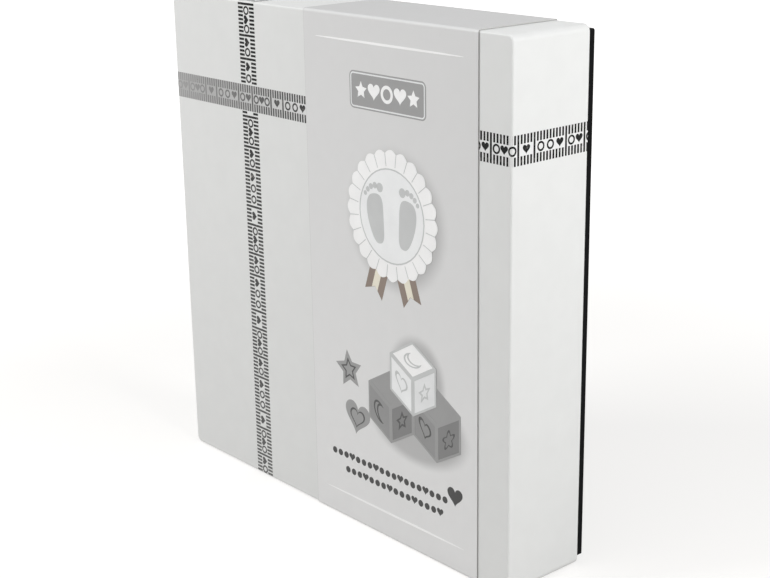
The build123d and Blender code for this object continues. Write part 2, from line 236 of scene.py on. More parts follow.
def wrapped_board(name, paper, rubbed, rough, shine, *wrapped):
    """Board wrapped in coloured paper, its edges rubbed where the wrapped pieces' boxes have theirs."""
    material, tree, shader = new_material(name)
    fibre = use_group(tree, paper_fibre)
    middle, half = box_of(*wrapped)
    worn = use_group(tree, rubbed_edges, Middle=middle, Half_size=half)["Mask"]
    tone = ease(tree, fibre["Tone"], *wrap_contrast)
    colour = mix(tree, worn, mix(tree, tone, shaded(paper, wrap_shade), paper), rubbed)
    fill(tree, shader, Base_Color=colour, Normal=fibre["Normal"], Specular_IOR_Level=shine,
         Roughness=scaled(tree, tone, wrap_rough_spread, rough))
    return material


def coat(piece, material):
    """Gives a piece one material."""
    piece.data.materials.clear()
    piece.data.materials.append(material)


def dress(material, *names):
    """Gives CAD nodes a material."""
    for name in names:
        coat(nodes[name], material)


black_wrap = wrapped_board(
    "black_wrapped_paper", black_paper, rubbed_black, black_rough, black_shine, "base_tray")
dress(black_wrap, "base_tray")


# Nest that holds the contents
# One sheet of black plastic drawn by vacuum over a mould, so it has a faint orange peel and is a little
# stretched and shiny in its corners. It drops into the base and stands on the base's floor.

nest_black = (0.018, 0.018, 0.019, 1)
nest_stretched, nest_rough = 1.7, (0.2, 0.3)
peel_size, peel_depth = 1.8 * mm, 0.05 * mm
stretch_scale = 25.0


def formed_sheet():
    """Thin black plastic, paler and shinier in patches where it is stretched."""
    material, tree, shader = new_material("formed_sheet")
    place = place_on(tree)
    peel = noise(tree, place, 1 / peel_size, 2.0)
    cloud = noise(tree, place, stretch_scale, 3.0)
    fill(tree, shader, Base_Color=mix(tree, cloud, nest_black, shaded(nest_black, nest_stretched)),
         Roughness=scaled(tree, cloud, *nest_rough), Normal=bump(tree, peel, peel_depth))
    return material


dress(formed_sheet(), "nest_insert")


# Keepsake box
# A tray of board wrapped in mid-grey paper with slotted card dividers, each compartment printed with a small
# outline, under a lift-off lid wrapped in white paper with a narrow grey ribbon cross printed on it.

keepsake_grey = (0.235, 0.235, 0.232, 1)
keepsake_rubbed = (0.34, 0.34, 0.33, 1)
keepsake_rough, keepsake_shine = 0.6, 0.3
white_paper = (0.84, 0.845, 0.84, 1)
white_rubbed = (0.90, 0.90, 0.88, 1)
white_rough, white_shine = 0.45, 0.4
divider_nodes = ["keepsake_long_divider", "keepsake_left_divider", "keepsake_right_divider"]
icon_ink, icon_rough = (0.075, 0.075, 0.075, 1), 0.5
icon_reach, icon_line = 12.0 * mm, 1.1 * mm
ink_film = 0.06 * mm
ink_pale_share, ink_pale_lift = 1.06, 0.004
ink_contrast, ink_rough_spread = (0.3, 0.7), 0.1
star_points, star_waist = 5, 0.5
petals, petal_middle, petal_swell = 5, 0.78, 0.22
heart_reach, flower_reach, drop_reach = 0.8, 0.8, 0.62
bite_share, bite_offset = 0.8, 0.5

grey_wrap = wrapped_board(
    "grey_wrapped_paper", keepsake_grey, keepsake_rubbed, keepsake_rough, keepsake_shine, "keepsake_tray")
dress(grey_wrap, "keepsake_tray", *divider_nodes)
keepsake_white = wrapped_board(
    "white_keepsake_paper", white_paper, white_rubbed, white_rough, white_shine, "keepsake_lid")
dress(keepsake_white, "keepsake_lid")


def ink(name, colour, rough=0.45):
    """Printing ink with the paper's fibres showing through it."""
    material, tree, shader = new_material(name)
    fibre = use_group(tree, paper_fibre)
    pale = tuple(min(1.0, c * ink_pale_share + ink_pale_lift) for c in colour[:3]) + (1,)
    fill(tree, shader, Base_Color=mix(tree, ease(tree, fibre["Tone"], *ink_contrast), colour, pale),
         Roughness=scaled(tree, fibre["Tone"], ink_rough_spread, rough),
         Normal=fibre["Normal"])
    return material


def edit_all():
    """Opens the active piece in edit mode with all of it selected."""
    bpy.ops.object.mode_set(mode="EDIT")
    bpy.ops.mesh.select_all(action="SELECT")


def round_shape(corners, radius=1.0):
    """A flat round face at the origin, facing up, open in edit mode with all of it selected."""
    bpy.ops.object.select_all(action="DESELECT")
    bpy.ops.mesh.primitive_circle_add(vertices=corners, radius=radius, fill_type="NGON")
    edit_all()
    return bpy.context.object


def lift_ink(piece):
    """Gives a flat face in edit mode its film of ink, and leaves edit mode."""
    bpy.ops.mesh.select_all(action="SELECT")
    bpy.ops.mesh.extrude_region_move(TRANSFORM_OT_translate={"value": (0, 0, ink_film)})
    bpy.ops.object.mode_set(mode="OBJECT")
    return piece


def outline_only(line, radius=0):
    """Leaves only a rim of a face in edit mode: as wide as the line, or drawn in evenly to its middle."""
    bpy.ops.mesh.inset(thickness=0 if radius else line)
    if radius:
        share = 1 - line / radius
        bpy.ops.transform.resize(value=(share, share, 1), center_override=(0, 0, 0))
    bpy.ops.mesh.delete(type="FACE")


def drawn_shape(corners, rule, line=0, reach=0):
    """A flat shape of ink whose corners stand where a rule of their angle puts them, or only its rim."""
    piece = round_shape(corners)
    bpy.ops.object.mode_set(mode="OBJECT")
    for corner in piece.data.vertices:
        corner.co.x, corner.co.y = rule(math.atan2(corner.co.y, corner.co.x))
    edit_all()
    if line:
        outline_only(line, reach)
    return lift_ink(piece)


def polar(reach):
    """The rule of a shape whose corners stand as far out as their angle says."""
    return lambda angle: (reach(angle) * math.cos(angle), reach(angle) * math.sin(angle))


def disc_shape(radius, line=0):
    piece = round_shape(40, radius)
    if line:
        outline_only(line)
    return lift_ink(piece)


def star_shape(radius, line=0):
    def reach(angle):
        step = round(angle * star_points / math.pi - star_points / 2)
        return radius * (star_waist if step % 2 else 1)

    return drawn_shape(2 * star_points, polar(reach), line)


def heart_shape(radius, line=0):
    """The well-known heart curve, whose half width is 16, raised so that its middle is at the origin."""
    def corner(angle):
        t = math.pi / 2 - angle
        up = 13 * math.cos(t) - 5 * math.cos(2 * t) - 2 * math.cos(3 * t) - math.cos(4 * t)
        return radius * math.sin(t) ** 3, radius * (up + 2.5) / 16

    return drawn_shape(48, corner, line, radius * heart_reach)


def flower_shape(radius, line=0):
    def reach(angle):
        return radius * (petal_middle + petal_swell * math.cos(petals * (angle - math.pi / 2)))

    return drawn_shape(60, polar(reach), line, radius * flower_reach)


def drop_shape(radius, line=0):
    """A round belly below, drawn up to a point."""
    def corner(angle):
        side, up = math.cos(angle), math.sin(angle)
        if up > 0:
            return radius * drop_reach * side * abs(side), radius * up
        return radius * drop_reach * side, radius * drop_reach * up

    return drawn_shape(40, corner, line, radius * drop_reach)


def modify(piece, kind, **settings):
    """Changes a piece with a modifier, and applies it."""
    bpy.context.view_layer.objects.active = piece
    made = piece.modifiers.new("change", kind)
    for key, value in settings.items():
        setattr(made, key, value)
    bpy.ops.object.modifier_apply(modifier=made.name)


def cut_away(piece, cutter):
    """Takes one closed piece from another."""
    bpy.ops.object.select_all(action="DESELECT")
    modify(piece, "BOOLEAN", operation="DIFFERENCE", object=cutter)
    bpy.data.objects.remove(cutter)
    return piece


def crescent(radius, line, tall):
    """A disc with a bite out of its right side, both drawn in by a line, and so many films tall."""
    piece = disc_shape(radius - line)
    bite = disc_shape(radius * bite_share + line)
    aside = Matrix.Translation((radius * bite_offset, 0, -ink_film))
    bite.data.transform(aside @ Matrix.Diagonal((1, 1, 3, 1)))
    cut_away(piece, bite)
    sunk = Matrix.Translation((0, 0, -ink_film * (tall - 1) / 2))
    piece.data.transform(sunk @ Matrix.Diagonal((1, 1, tall, 1)))
    return piece


def moon_shape(radius, line=0):
    piece = crescent(radius, 0, 1)
    return cut_away(piece, crescent(radius, line, 3)) if line else piece


facing_front = Matrix.Rotation(math.radians(90), 4, "X")


def put(piece, x, y, z, turn=0.0):
    """Places a flat print upright in the row frame, facing the front, with its back at y."""
    piece.data.transform(
        Matrix.Translation((x, y, z)) @ facing_front @ Matrix.Rotation(math.radians(turn), 4, "Z"))
    piece.data.update()
    return piece


def join(pieces):
    """Joins pieces into the first of them."""
    bpy.ops.object.select_all(action="DESELECT")
    for piece in pieces:
        piece.select_set(True)
    bpy.context.view_layer.objects.active = pieces[0]
    if len(pieces) > 1:
        bpy.ops.object.join()
    return pieces[0]


def as_one(name, pieces, material, body):
    """Joins pieces of one material into one piece that rides on a body."""
    made = join(pieces)
    made.name = made.data.name = name
    coat(made, material)
    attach(made, body)
    return made


def compartments():
    """Middle of each compartment on the tray's floor, from the dividers' places."""
    low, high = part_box("keepsake_tray")
    across = [low.x, *sorted(box_of(name)[0][0] for name in divider_nodes[1:]), high.x]
    up = [low.z, box_of(divider_nodes[0])[0][2], high.z]
    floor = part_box(divider_nodes[0])[1].y
    columns, rows = ([(a + b) / 2 for a, b in zip(walls, walls[1:])] for walls in (across, up))
    return [(x, floor, z) for z in reversed(rows) for x in columns]


icon_shapes = [star_shape, heart_shape, moon_shape, flower_shape, drop_shape, disc_shape]
icons = [put(shape(icon_reach, icon_line), *place) for shape, place in zip(icon_shapes, compartments())]
as_one("keepsake_icons", icons, ink("icon_ink", icon_ink, icon_rough), "base")

keepsake_ribbon = (0.30, 0.30, 0.30, 1)
keepsake_ribbon_width, keepsake_ribbon_share = 7.0 * mm, 0.36
ribbon_step, wrap_steps = 0.5 * mm, 8
cover_edge = 1.0 * mm
cover_low, cover_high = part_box("keepsake_lid")
cover_middle, cover_half = box_of("keepsake_lid")
cover_cross_x = cover_low.x + (cover_high.x - cover_low.x) * keepsake_ribbon_share


def new_object(name, data):
    """An object placed in the scene."""
    made = bpy.data.objects.new(name, data)
    bpy.context.scene.collection.objects.link(made)
    return made


def wrap_path(half, face, rim, radius):
    """A path in the XY plane round three walls of a lid: from the rim, over the face, to the other rim."""
    corner = [(radius * (1 - math.cos(a)), radius * (1 - math.sin(a))) for a in
              (math.pi / 2 * i / wrap_steps for i in range(wrap_steps + 1))]
    left = [(-half + x, face + y) for x, y in corner]
    points = [(-half, rim), *left, *[(-x, y) for x, y in reversed(left)], (half, rim)]
    curve = bpy.data.curves.new("wrap_path", "CURVE")
    curve.dimensions = "3D"
    curve.twist_mode = "Z_UP"
    line = curve.splines.new("POLY")
    line.points.add(len(points) - 1)
    for point, (x, y) in zip(line.points, points):
        point.co = (x, y, 0, 1)
    return new_object("wrap_path", curve), sum(math.dist(a, b) for a, b in zip(points, points[1:]))


def wrap(piece, path):
    """Bends a flat piece along a path, and removes the path."""
    modify(piece, "CURVE", object=path, deform_axis="POS_X")
    bpy.data.objects.remove(path)


def ribbon_strip(length, width):
    """A flat strip along X from 0, cut across so that it can bend, its back in the plane y = 0."""
    bpy.ops.object.select_all(action="DESELECT")
    bpy.ops.mesh.primitive_grid_add(x_subdivisions=int(length / ribbon_step), y_subdivisions=1, size=1)
    bpy.ops.object.mode_set(mode="EDIT")
    bpy.ops.transform.resize(value=(length, width, 1))
    bpy.ops.transform.translate(value=(length / 2, 0, 0))
    piece = lift_ink(bpy.context.object)
    piece.data.transform(facing_front)
    return piece


def cover_ribbon(half, turn, shift):
    """One arm of the cover's ribbon cross, turned to run across or down."""
    path, length = wrap_path(half, cover_low.y, cover_high.y, cover_edge)
    piece = ribbon_strip(length, keepsake_ribbon_width)
    wrap(piece, path)
    piece.data.transform(Matrix.Translation(shift) @ Matrix.Rotation(turn, 4, "Y"))
    return piece


arms = [
    cover_ribbon(cover_half[0], 0.0, (cover_middle[0], 0, cover_middle[2])),
    cover_ribbon(cover_half[2], math.pi / 2, (cover_cross_x, 0, cover_middle[2])),
]
as_one("keepsake_cover_ribbon", arms, ink("keepsake_ribbon_ink", keepsake_ribbon), "keepsake_cover")


# Envelope for a lock of hair and pillow box for a first tooth
# Both are die-cut and folded from grey paper board, and each is printed with a small outline.

folded_grey = (0.19, 0.19, 0.188, 1)
folded_rubbed = (0.30, 0.30, 0.29, 1)
folded_rough, folded_shine = 0.55, 0.3
folded_pieces = {"envelope": ["envelope_pocket", "envelope_flap"], "pillow": ["pillow_box"]}
small_icon_reach = 8.5 * mm
flap_icon_share, flap_line_share = 0.6, 0.8

for kind, folded in folded_pieces.items():
    card = wrapped_board(
        f"grey_{kind}_card", folded_grey, folded_rubbed, folded_rough, folded_shine, *folded)
    dress(card, *folded)

small_ink = ink("small_icon_ink", icon_ink, icon_rough)
pillow_x, _, pillow_z = box_of("pillow_box")[0]
pillow_icon = put(star_shape(small_icon_reach, icon_line), pillow_x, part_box("pillow_box")[0].y, pillow_z)
as_one("pillow_box_icon", [pillow_icon], small_ink, "base")
flap_low, flap_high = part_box("envelope_flap")
flap_heart = heart_shape(small_icon_reach * flap_icon_share, icon_line * flap_line_share)
flap_icon = put(flap_heart, pillow_x, flap_low.y, flap_high.z - small_icon_reach)
as_one("envelope_flap_icon", [flap_icon], small_ink, "flap")


# Rails of the double frame
# Four mitred lengths of fibreboard moulding to each leaf, glued at the corners and sprayed with white satin
# paint, which shows the faintest roller stipple and a trace of the grain below it.

frame_white = (0.83, 0.835, 0.83, 1)
frame_shade = (0.78, 0.78, 0.77, 1)
paint_contrast, paint_rough = (0.3, 0.75), (0.12, 0.26)
paint_depth, paint_cloud_scale = 0.012 * mm, 14.0
stipple_size = 0.6 * mm
grain_scale, grain_stretch = 420.0, 0.12
rail_nodes = {
    "across": [f"{leaf}_rail_{place}" for leaf in ("clay", "photo") for place in ("top", "bottom")],
    "upright": [f"{leaf}_rail_{place}" for leaf in ("clay", "photo") for place in ("left", "right")],
}


def painted_rail(way):
    """White paint on moulding whose grain runs across or upright."""
    material, tree, shader = new_material(f"white_paint_{way}")
    place = place_on(tree)
    stretch = (grain_stretch, 1, 1) if way == "across" else (1, 1, grain_stretch)
    along = add(tree, "Mapping", Vector=place, Scale=stretch).outputs[0]
    grain = noise(tree, along, grain_scale, 4.0, Distortion=0.3)
    stipple = noise(tree, place, 1 / stipple_size, 2.0)
    cloud = noise(tree, place, paint_cloud_scale, 2.0)
    fill(tree, shader, Base_Color=mix(tree, ease(tree, cloud, *paint_contrast), frame_white, frame_shade),
         Roughness=scaled(tree, cloud, *paint_rough),
         Normal=bump(tree, calculate(tree, "ADD", grain, stipple), paint_depth))
    return material


for way, names in rail_nodes.items():
    dress(painted_rail(way), *names)


# What the impression leaf holds
# Air-dried white clay, rolled flat and pressed with a hand, on a foam pad, behind a hardboard back.

clay_white = (0.80, 0.80, 0.785, 1)
clay_shade = (0.72, 0.72, 0.70, 1)
clay_contrast, clay_rough = (0.35, 0.7), (0.1, 0.78)
clay_shine, clay_depth = 0.25, 0.04 * mm
pit_scale, wave_scale, powder_scale = 700.0, 55.0, 2600.0
pit_height, wave_height = 0.6, 4.0
clay_weld, clay_grid, clay_passes = 0.001 * mm, 0.7 * mm, 8
foam_white, foam_shade = (0.80, 0.80, 0.79, 1), 0.8
foam_rough, foam_scale, foam_depth = 0.9, 1500.0, 0.2 * mm
board_brown = (0.205, 0.115, 0.055, 1)
board_dark = (0.13, 0.07, 0.032, 1)
board_contrast, board_rough = (0.3, 0.7), (0.25, 0.5)
board_fibre_scale, board_cloud_scale, board_depth = 480.0, 30.0, 0.05 * mm


def dried_clay():
    """Clay with fine pits, a powdery surface and slow waves from the roller."""
    material, tree, shader = new_material("dried_clay")
    place = place_on(tree)
    pits = add(tree, "TexVoronoi", Vector=place, Scale=pit_scale).outputs["Distance"]
    waves = noise(tree, place, wave_scale, 5.0, Roughness=0.6)
    powder = noise(tree, place, powder_scale, 2.0)
    height = scaled(tree, waves, wave_height, calculate(tree, "MULTIPLY", pits, pit_height))
    fill(tree, shader, Base_Color=mix(tree, ease(tree, waves, *clay_contrast), clay_white, clay_shade),
         Roughness=scaled(tree, powder, *clay_rough),
         Specular_IOR_Level=clay_shine, Normal=bump(tree, height, clay_depth))
    return material


def soft_foam():
    """Closed cells, seen only at the pad's edges."""
    material, tree, shader = new_material("soft_foam")
    cells = add(tree, "TexVoronoi", Vector=place_on(tree), Scale=foam_scale).outputs["Distance"]
    fill(tree, shader, Base_Color=mix(tree, cells, shaded(foam_white, foam_shade), foam_white),
         Roughness=foam_rough, Normal=bump(tree, cells, foam_depth))
    return material


def hardboard():
    """Pressed wood fibre: short dark and light fibres in all directions."""
    material, tree, shader = new_material("hardboard")
    place = place_on(tree)
    fibres = noise(tree, place, board_fibre_scale, 6.0, Distortion=2.0)
    cloud = noise(tree, place, board_cloud_scale, 3.0)
    tone = ease(tree, blend(tree, cloud, fibres, 0.5), *board_contrast)
    fill(tree, shader, Base_Color=mix(tree, tone, board_dark, board_brown),
         Roughness=scaled(tree, fibres, *board_rough), Normal=bump(tree, fibres, board_depth))
    return material


def pressed_clay(material):
    """The slab with the creases of its print softened, as damp clay leaves them."""
    piece = new_object("pressed_clay_slab", nodes["clay_slab"].data.copy())
    bpy.ops.object.select_all(action="DESELECT")
    piece.select_set(True)
    bpy.context.view_layer.objects.active = piece
    edit_all()
    bpy.ops.mesh.remove_doubles(threshold=clay_weld)
    bpy.ops.object.mode_set(mode="OBJECT")
    modify(piece, "REMESH", mode="VOXEL", voxel_size=clay_grid)
    modify(piece, "SMOOTH", factor=0.5, iterations=clay_passes)
    bpy.ops.object.shade_smooth()
    coat(piece, material)
    return piece


clay = pressed_clay(dried_clay())
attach(clay, "clay_leaf")
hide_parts("clay_slab")
dress(soft_foam(), "clay_foam_pad")
dress(hardboard(), "clay_back_board", "photo_back_board")


# What the photo leaf holds
# A clear pane, a print of a moon over soft hills in taupe and cream, a grey backing card and a card spacer.

sky_taupe = (0.235, 0.185, 0.155, 1)
sky_light = (0.46, 0.39, 0.33, 1)
moon_cream = (0.80, 0.76, 0.64, 1)
hill_colours = [(0.47, 0.47, 0.40, 1), (0.60, 0.60, 0.52, 1), (0.72, 0.71, 0.63, 1)]
hill_shares = [(0.44, 0.050, 1.0, 0.4), (0.31, 0.060, 0.8, 2.4), (0.17, 0.045, 1.3, 4.2)]
hill_edge, sky_fade = 0.006, (0.3, 1.0)
moon_x, moon_z, moon_radius = 0.63, 0.74, 0.115
moon_edge, moon_glow_reach, moon_glow = 0.97, 2.2, 0.3
print_rough = 0.28
glass_tint, glass_bend, dust_scale = (0.97, 0.99, 0.98, 1), 1.5, 120.0
dust_contrast, dust_rough = (0.5, 0.9), 0.06
card_grey, card_shade, card_rough = (0.42, 0.41, 0.39, 1), 0.8, 0.85
card_fibre, card_depth = 0.8 * mm, 0.03 * mm


def share_of(tree, value, start, size):
    """How many sizes a value is from a start."""
    return calculate(tree, "DIVIDE", calculate(tree, "SUBTRACT", value, start), size)


def distance(tree, across, up):
    """The length of a step across and up."""
    squares = [calculate(tree, "POWER", side, 2.0) for side in (across, up)]
    return calculate(tree, "SQRT", calculate(tree, "ADD", *squares))


def scenic_print():
    """Sky that lightens downwards, a full moon and three rolling hills, one before another."""
    material, tree, shader = new_material("scenic_print")
    low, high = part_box("photo_print")
    width, height = high.x - low.x, high.z - low.z
    x, _, z = axes_of(tree, place_on(tree))
    across, up = share_of(tree, x, low.x, width), share_of(tree, z, low.z, height)
    colour = mix(tree, ease(tree, up, *sky_fade), sky_light, sky_taupe)
    off_x = calculate(tree, "MULTIPLY", calculate(tree, "SUBTRACT", across, moon_x), width / height)
    reach = distance(tree, off_x, calculate(tree, "SUBTRACT", up, moon_z))
    glow = rest_of(tree, ease(tree, reach, moon_radius, moon_radius * moon_glow_reach))
    colour = mix(tree, calculate(tree, "MULTIPLY", glow, moon_glow), colour, moon_cream)
    disc = rest_of(tree, ease(tree, reach, moon_radius * moon_edge, moon_radius))
    colour = mix(tree, disc, colour, moon_cream)
    for hill, (level, swell, waves, start) in zip(hill_colours, hill_shares):
        angle = scaled(tree, across, waves * 2 * math.pi, start)
        line = scaled(tree, calculate(tree, "SINE", angle), swell, level)
        below = rest_of(tree, ease(tree, calculate(tree, "SUBTRACT", up, line), 0.0, hill_edge))
        colour = mix(tree, below, colour, hill)
    fill(tree, shader, Base_Color=colour, Roughness=print_rough)
    return material


def clear_pane():
    """Thin glass, faintly green, dulled by a trace of dust. It lets the light through to the print."""
    material, tree, shader = new_material("clear_pane")
    dust = ease(tree, noise(tree, place_on(tree), dust_scale, 6.0), *dust_contrast)
    rays = add(tree, "LightPath").outputs
    passed = calculate(tree, "MAXIMUM", rays["Is Shadow Ray"], rays["Is Diffuse Ray"])
    fill(tree, shader, Base_Color=glass_tint, Transmission_Weight=1.0, IOR=glass_bend,
         Roughness=calculate(tree, "MULTIPLY", dust, dust_rough), Alpha=rest_of(tree, passed))
    return material


def backing_card():
    """Uncoated grey card with coarse fibres."""
    material, tree, shader = new_material("backing_card")
    fibre = use_group(tree, paper_fibre, Fibre_size=card_fibre, Depth=card_depth)
    fill(tree, shader, Base_Color=mix(tree, fibre["Tone"], shaded(card_grey, card_shade), card_grey),
         Roughness=card_rough, Normal=fibre["Normal"])
    return material


dress(scenic_print(), "photo_print")
dress(clear_pane(), "photo_pane")
dress(backing_card(), "photo_card", "photo_spacer")


# Hinges and turn buttons
# Plated steel, stamped and bright-rolled, so it is brushed along its length. The hinge plates are held by
# small countersunk screws, and the buttons by slotted round heads.

steel = (0.60, 0.60, 0.58, 1)
steel_dark = (0.42, 0.42, 0.41, 1)
steel_contrast, steel_rough = (0.35, 0.65), (0.25, 0.18)
steel_stretch, steel_depth = 0.04, 0.01 * mm
brush_scale, spot_scale = 5200.0, 260.0
button_nodes = [f"{leaf}_button_{part}" for leaf in ("clay", "photo")
                for part in ("top", "bottom", "screws")]
hinge_nodes = [f"{height}_hinge_{part}" for height in ("lower", "upper")
               for part in ("clay_plate", "photo_plate", "pin")]


def plated_steel():
    """Bright plating, brushed upright, with duller spots."""
    material, tree, shader = new_material("plated_steel")
    place = place_on(tree)
    along = add(tree, "Mapping", Vector=place, Scale=(1, 1, steel_stretch)).outputs[0]
    lines = noise(tree, along, brush_scale, 3.0)
    spots = noise(tree, place, spot_scale, 5.0)
    tone = ease(tree, blend(tree, lines, spots, 0.5), *steel_contrast)
    fill(tree, shader, Base_Color=mix(tree, tone, steel_dark, steel), Metallic=1.0,
         Roughness=scaled(tree, spots, *steel_rough), Normal=bump(tree, lines, steel_depth))
    return material


plating = plated_steel()
dress(plating, *button_nodes, *hinge_nodes)

slot_width_share, smooth_angle = 0.26, math.radians(40)
button_head_height, button_slot_depth = 1.0 * mm, 0.55 * mm
button_shank_radius = 1.2 * mm
button_slot_turns = {"clay": (20, -35), "photo": (50, -10)}
plate_face = 0.1 * mm
plate_screw_radius, plate_screw_rise, plate_slot_share = 1.9 * mm, 0.07 * mm, 1.2
plate_screw_inset, plate_screw_spread = 5.6 * mm, 7.2 * mm
plate_slot_turns = (15, -40)


def screw(radius, rise, slot_depth, turn, shank_radius=0, shank_length=0):
    """A crowned round head at the origin, facing up, with a slot across it and any shank below it."""
    bpy.ops.object.select_all(action="DESELECT")
    bpy.ops.mesh.primitive_uv_sphere_add(segments=32, ring_count=16, radius=1)
    head = bpy.context.object
    edit_all()
    bpy.ops.transform.resize(value=(radius, radius, rise))
    bpy.ops.mesh.bisect(plane_co=(0, 0, 0), plane_no=(0, 0, 1), clear_inner=True, use_fill=True)
    if shank_length:
        bpy.ops.mesh.inset(thickness=radius - shank_radius)
        bpy.ops.mesh.extrude_region_move(TRANSFORM_OT_translate={"value": (0, 0, -shank_length)})
    bpy.ops.object.mode_set(mode="OBJECT")
    bpy.ops.object.select_all(action="DESELECT")
    bpy.ops.mesh.primitive_cube_add(
        size=1, location=(0, 0, 2 * rise - slot_depth), rotation=(0, 0, math.radians(turn)),
        scale=(3 * radius, 2 * radius * slot_width_share, 2 * rise))
    cut_away(head, bpy.context.object)
    head.select_set(True)
    bpy.ops.object.shade_smooth_by_angle(angle=smooth_angle)
    return head


for leaf, turns in button_slot_turns.items():
    low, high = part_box(f"{leaf}_button_screws")
    radius, seat = (high.x - low.x) / 2, high.y - button_head_height
    screws = []
    for z, turn in zip((low.z + radius, high.z - radius), turns):
        piece = screw(radius, button_head_height, button_slot_depth, turn, button_shank_radius, seat - low.y)
        place = Matrix.Translation(((low.x + high.x) / 2, seat, z))
        piece.data.transform(place @ Matrix.Rotation(-math.pi / 2, 4, "X"))
        screws.append(piece)
    heads = as_one(f"{leaf}_button_slotted_screws", screws, plating, f"{leaf}_leaf")
    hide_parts(f"{leaf}_button_screws")

for height in ("lower", "upper"):
    for leaf, side in (("clay", 1), ("photo", -1)):
        low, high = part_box(f"{height}_hinge_{leaf}_plate")
        screws = []
        for way, turn in zip((-1, 1), plate_slot_turns):
            slot_depth = plate_screw_rise * plate_slot_share
            piece = screw(plate_screw_radius, plate_screw_rise, slot_depth, turn * side)
            z = (low.z + high.z) / 2 + way * plate_screw_spread
            place = Matrix.Translation((side * plate_face, high.y - plate_screw_inset, z))
            piece.data.transform(place @ Matrix.Rotation(-side * math.pi / 2, 4, "Y"))
            screws.append(piece)
        heads = as_one(f"{height}_hinge_{leaf}_screws", screws, plating, f"{leaf}_leaf")


# Lid of the gift box
# A deep lid of greyboard wrapped in smooth white paper. A ribbon cross is stamped on it in foil: short bars
# along each edge, rings and hearts between them, and a full bar after each group. The foil's grey is painted
# to shift along each ribbon, and the level ribbon lies on a grey wash: both are painted reflection.

lid_white = (0.75, 0.757, 0.75, 1)
lid_rubbed = (0.80, 0.80, 0.79, 1)
lid_rough, lid_shine, lid_edge = 0.42, 0.4, 1.2 * mm
ribbon_width = 15.5 * mm
ribbon_height_share, ribbon_across_share = 0.8098, 0.2617
bar_pitch, bar_width, short_bar = 2.3 * mm, 1.35 * mm, 4.7 * mm
foil_film, reflection_wash_film = 0.05 * mm, 0.02 * mm
figure_reach, figure_line, figure_room = 2.6 * mm, 1.05 * mm, 2.45
group_sizes = (7, 4, 9, 5)
bars_in_repeat = sum(group_sizes) + len(group_sizes)
gap_share, bend_slack = 0.55, 0.4
# painted reflection: the across foil is painted silver-grey near the lid's left edge, fading to black
# rightwards
across_painted_reflection = [(0.0, 0.05), (0.004, 0.28), (0.12, 0.18), (0.3, 0.08), (0.47, 0.02), (1.0, 0.008)]
# painted reflection: the down foil is painted a little lighter at the bottom, darkening upwards
down_painted_reflection = [(0.0, 0.10), (0.4, 0.06), (0.8, 0.012), (1.0, 0.006)]
# painted reflection: the grey wash under the across ribbon stands in for the foil's sheen
wash_painted_reflection = [(0.0, 0.6), (0.004, 0.37), (0.13, 0.40), (0.25, 0.50), (0.36, 0.58), (0.46, 0.72), (1.0, 0.75)]
foil_worn = (0.25, 0.24, 0.23, 1)
foil_metal, foil_rub_scale = 0.85, 380.0
foil_contrast, foil_rough = (0.55, 0.85), (0.2, 0.22)
reflection_wash_rough = (0.08, 0.42)

lid_wrap = wrapped_board("white_wrapped_paper", lid_white, lid_rubbed, lid_rough, lid_shine, "lid_shell")
dress(lid_wrap, "lid_shell")


def add_bar(number, z, height):
    """One upright bar of foil, so many bars along the ribbon."""
    x = (number + 0.5) * bar_pitch
    bpy.ops.mesh.primitive_cube_add(
        size=1, location=(x, -foil_film / 2, z), scale=(bar_width, foil_film, height))


def foil_bars():
    """One repeat of the ribbon: each group of split bars ends in a full bar."""
    bpy.ops.object.select_all(action="DESELECT")
    add_bar(0, 0, ribbon_width)
    piece = bpy.context.object
    bpy.ops.object.transform_apply(location=True, rotation=False, scale=True)
    bpy.ops.object.mode_set(mode="EDIT")
    count = 1
    for size in group_sizes:
        for number in range(count, count + size):
            for side in (-1, 1):
                add_bar(number, side * (ribbon_width - short_bar) / 2, short_bar)
        count += size + 1
        if count <= bars_in_repeat:
            add_bar(count - 1, 0, ribbon_width)
    bpy.ops.object.mode_set(mode="OBJECT")
    return piece


def foil_figures():
    """The small figures in the middle of each group: rings with hearts among them."""
    figures = []
    first = 1
    for number, size in enumerate(group_sizes):
        middle, room = (first + size / 2) * bar_pitch, size * bar_pitch
        count = max(1, round(room / (figure_room * figure_reach)))
        for i in range(count):
            heart = (i + number) % 3 == 1
            shape = heart_shape(figure_reach) if heart else disc_shape(figure_reach, figure_line)
            shape.data.transform(Matrix.Scale(foil_film / ink_film, 4, (0, 0, 1)))
            figures.append(put(shape, middle + (i - (count - 1) / 2) * room / count, 0, 0))
        first += size + 1
    return figures


def foil_ribbon(half, face, rim, skip=None):
    """A ribbon of foil round three walls, in the XY plane, left out where the other ribbon crosses it."""
    path, length = wrap_path(half, face, rim, lid_edge)
    unit = join([foil_bars(), *foil_figures()])
    repeat = bars_in_repeat * bar_pitch
    modify(unit, "ARRAY", count=math.ceil(length / repeat), use_relative_offset=False,
           use_constant_offset=True, constant_offset_displace=(repeat, 0, 0))
    edit_all()
    bpy.ops.mesh.bisect(plane_co=(length, 0, 0), plane_no=(1, 0, 0), clear_outer=True, use_fill=True)
    if skip:
        low, high = (round(place / bar_pitch) * bar_pitch for place in skip)
        bpy.ops.mesh.select_all(action="DESELECT")
        bpy.ops.object.mode_set(mode="OBJECT")
        for corner in unit.data.vertices:
            corner.select = low < corner.co.x < high
        bpy.ops.object.mode_set(mode="EDIT")
        bpy.ops.mesh.select_linked()
        bpy.ops.mesh.delete(type="VERT")
    bpy.ops.object.mode_set(mode="OBJECT")
    wrap(unit, path)
    return unit


